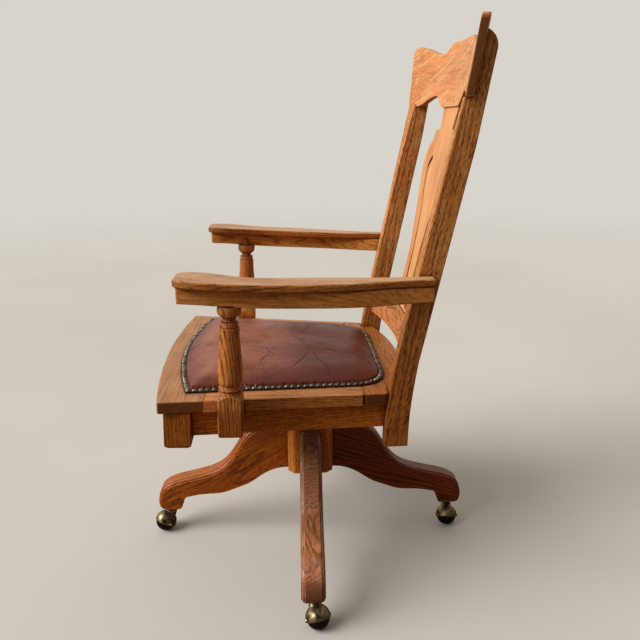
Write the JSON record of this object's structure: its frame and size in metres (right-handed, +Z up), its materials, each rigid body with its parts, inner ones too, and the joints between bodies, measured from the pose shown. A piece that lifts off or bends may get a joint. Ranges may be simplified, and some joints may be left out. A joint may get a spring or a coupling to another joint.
{
  "type": "swivel chair",
  "caption": "Oak bankers swivel chair with leather seat, turned arm posts, pierced splat, tilting iron, height screw and ball casters.",
  "frame": {"origin": "on the floor under the axis of the swivel spindle, with the casters standing on z = 0", "axes": "+Z up; the chair faces -Y; +X is the sitter's left"},
  "size_m": [0.7438, 0.7271, 1.1013],
  "materials": {
    "oak": "waxed golden oak",
    "leather": "worn waxed hide",
    "antique_brass": "aged",
    "dark_caster": "worn black",
    "cast_iron": "japanned",
    "steel": "dulled"
  },
  "bodies": {
    "base": {"hub": "oak", "leg_left": "oak", "leg_rear": "oak", "leg_right": "oak", "leg_front": "oak", "leg_dowels": "oak", "caster_sockets": "steel", "hub_sleeve": "cast_iron"},
    "thrust_washer": {"thrust_washer": "steel"},
    "hand_nut": {"hand_nut": "cast_iron"},
    "column": {"spindle": "steel", "yoke": "cast_iron", "tension_spring": "steel"},
    "tension_rod": {"tension_rod": "steel"},
    "tension_washer": {"tension_washer": "steel"},
    "tension_knob": {"tension_knob": "cast_iron"},
    "caster_left": {"caster_hood_left": "antique_brass", "caster_stem_left": "steel"},
    "wheel_left": {"caster_wheel_left": "dark_caster"},
    "caster_rear": {"caster_hood_rear": "antique_brass", "caster_stem_rear": "steel"},
    "wheel_rear": {"caster_wheel_rear": "dark_caster"},
    "caster_right": {"caster_hood_right": "antique_brass", "caster_stem_right": "steel"},
    "wheel_right": {"caster_wheel_right": "dark_caster"},
    "caster_front": {"caster_hood_front": "antique_brass", "caster_stem_front": "steel"},
    "wheel_front": {"caster_wheel_front": "dark_caster"},
    "seat": {"corner_blocks": "oak", "crest_rail": "oak", "cross_pin": "steel", "front_apron": "oak", "iron_screws": "steel", "leather_pad": "leather", "left_apron": "oak", "left_arm_board": "oak", "left_arm_post": "oak", "left_arm_rail": "oak", "left_stile": "oak", "left_stub_post": "oak", "lower_back_rail": "oak", "packing_blocks": "oak", "rear_apron": "oak", "right_apron": "oak", "right_arm_board": "oak", "right_arm_post": "oak", "right_arm_rail": "oak", "right_stile": "oak", "right_stub_post": "oak", "seat_cleats": "oak", "seat_front_board": "oak", "seat_iron_left": "cast_iron", "seat_iron_right": "cast_iron", "seat_left_board": "oak", "seat_panel": "oak", "seat_rear_board": "oak", "seat_right_board": "oak", "splat": "oak", "stile_bolts": "steel", "tilt_pin": "steel"}
  },
  "joints": [
    {"name": "caster_swivel_left", "type": "hinge", "parent": "base", "child": "caster_left", "pos_m": [0.32787, -0.00916, 0.058], "axis": [0, 0, 1], "continuous": true},
    {"name": "caster_roll_left", "type": "hinge", "parent": "caster_left", "child": "wheel_left", "pos_m": [0.34854, -0.00163, 0.0225], "axis": [-0.342, 0.9397, 0], "continuous": true},
    {"name": "caster_swivel_rear", "type": "hinge", "parent": "base", "child": "caster_rear", "pos_m": [0.00916, 0.32787, 0.058], "axis": [0, 0, 1], "continuous": true},
    {"name": "caster_roll_rear", "type": "hinge", "parent": "caster_rear", "child": "wheel_rear", "pos_m": [0.03094, 0.32481, 0.0225], "axis": [0.1392, 0.9903, 0], "continuous": true},
    {"name": "caster_swivel_right", "type": "hinge", "parent": "base", "child": "caster_right", "pos_m": [-0.32787, 0.00916, 0.058], "axis": [0, 0, 1], "continuous": true},
    {"name": "caster_roll_right", "type": "hinge", "parent": "caster_right", "child": "wheel_right", "pos_m": [-0.34939, 0.01373, 0.0225], "axis": [-0.2079, -0.9781, 0], "continuous": true},
    {"name": "caster_swivel_front", "type": "hinge", "parent": "base", "child": "caster_front", "pos_m": [-0.00916, -0.32787, 0.058], "axis": [0, 0, 1], "continuous": true},
    {"name": "caster_roll_front", "type": "hinge", "parent": "caster_front", "child": "wheel_front", "pos_m": [0.00346, -0.34589, 0.0225], "axis": [0.8192, 0.5736, 0], "continuous": true},
    {"name": "seat_swivel", "type": "hinge", "parent": "base", "child": "thrust_washer", "pos_m": [0, 0, 0.2733], "axis": [0, 0, 1], "continuous": true},
    {"name": "seat_height", "type": "slide", "parent": "thrust_washer", "child": "column", "axis": [0, 0, 1], "range_m": [0, 0.06]},
    {"name": "nut_turn", "type": "hinge", "parent": "thrust_washer", "child": "hand_nut", "pos_m": [0, 0, 0.2776], "axis": [0, 0, 1], "range_deg": [-3402, 0]},
    {"name": "seat_tilt", "type": "hinge", "parent": "column", "child": "seat", "pos_m": [0, 0, 0.376], "axis": [-1, 0, 0], "range_deg": [0, 12], "stiffness_Nm_per_rad": 150, "springref_deg": -8.59, "deforming": ["tension_spring"]},
    {"name": "rod_hang", "type": "hinge", "parent": "seat", "child": "tension_rod", "pos_m": [0, -0.08494, 0.37926], "axis": [1, 0, 0], "range_deg": [0, 12.01]},
    {"name": "tension_travel", "type": "slide", "parent": "tension_rod", "child": "tension_washer", "axis": [0, 0, 1], "range_m": [0, 0.012]},
    {"name": "tension_knob_turn", "type": "hinge", "parent": "tension_washer", "child": "tension_knob", "pos_m": [0, -0.08494, 0.276], "axis": [0, 0, 1], "range_deg": [0, 2881]}
  ],
  "couplings": [
    {"joint": "nut_turn", "follows": "seat_height", "rad_per_m": -989.48},
    {"joint": "rod_hang", "follows": "seat_tilt", "ratio": 1},
    {"joint": "tension_knob_turn", "follows": "tension_travel", "rad_per_m": 4188.8}
  ]
}
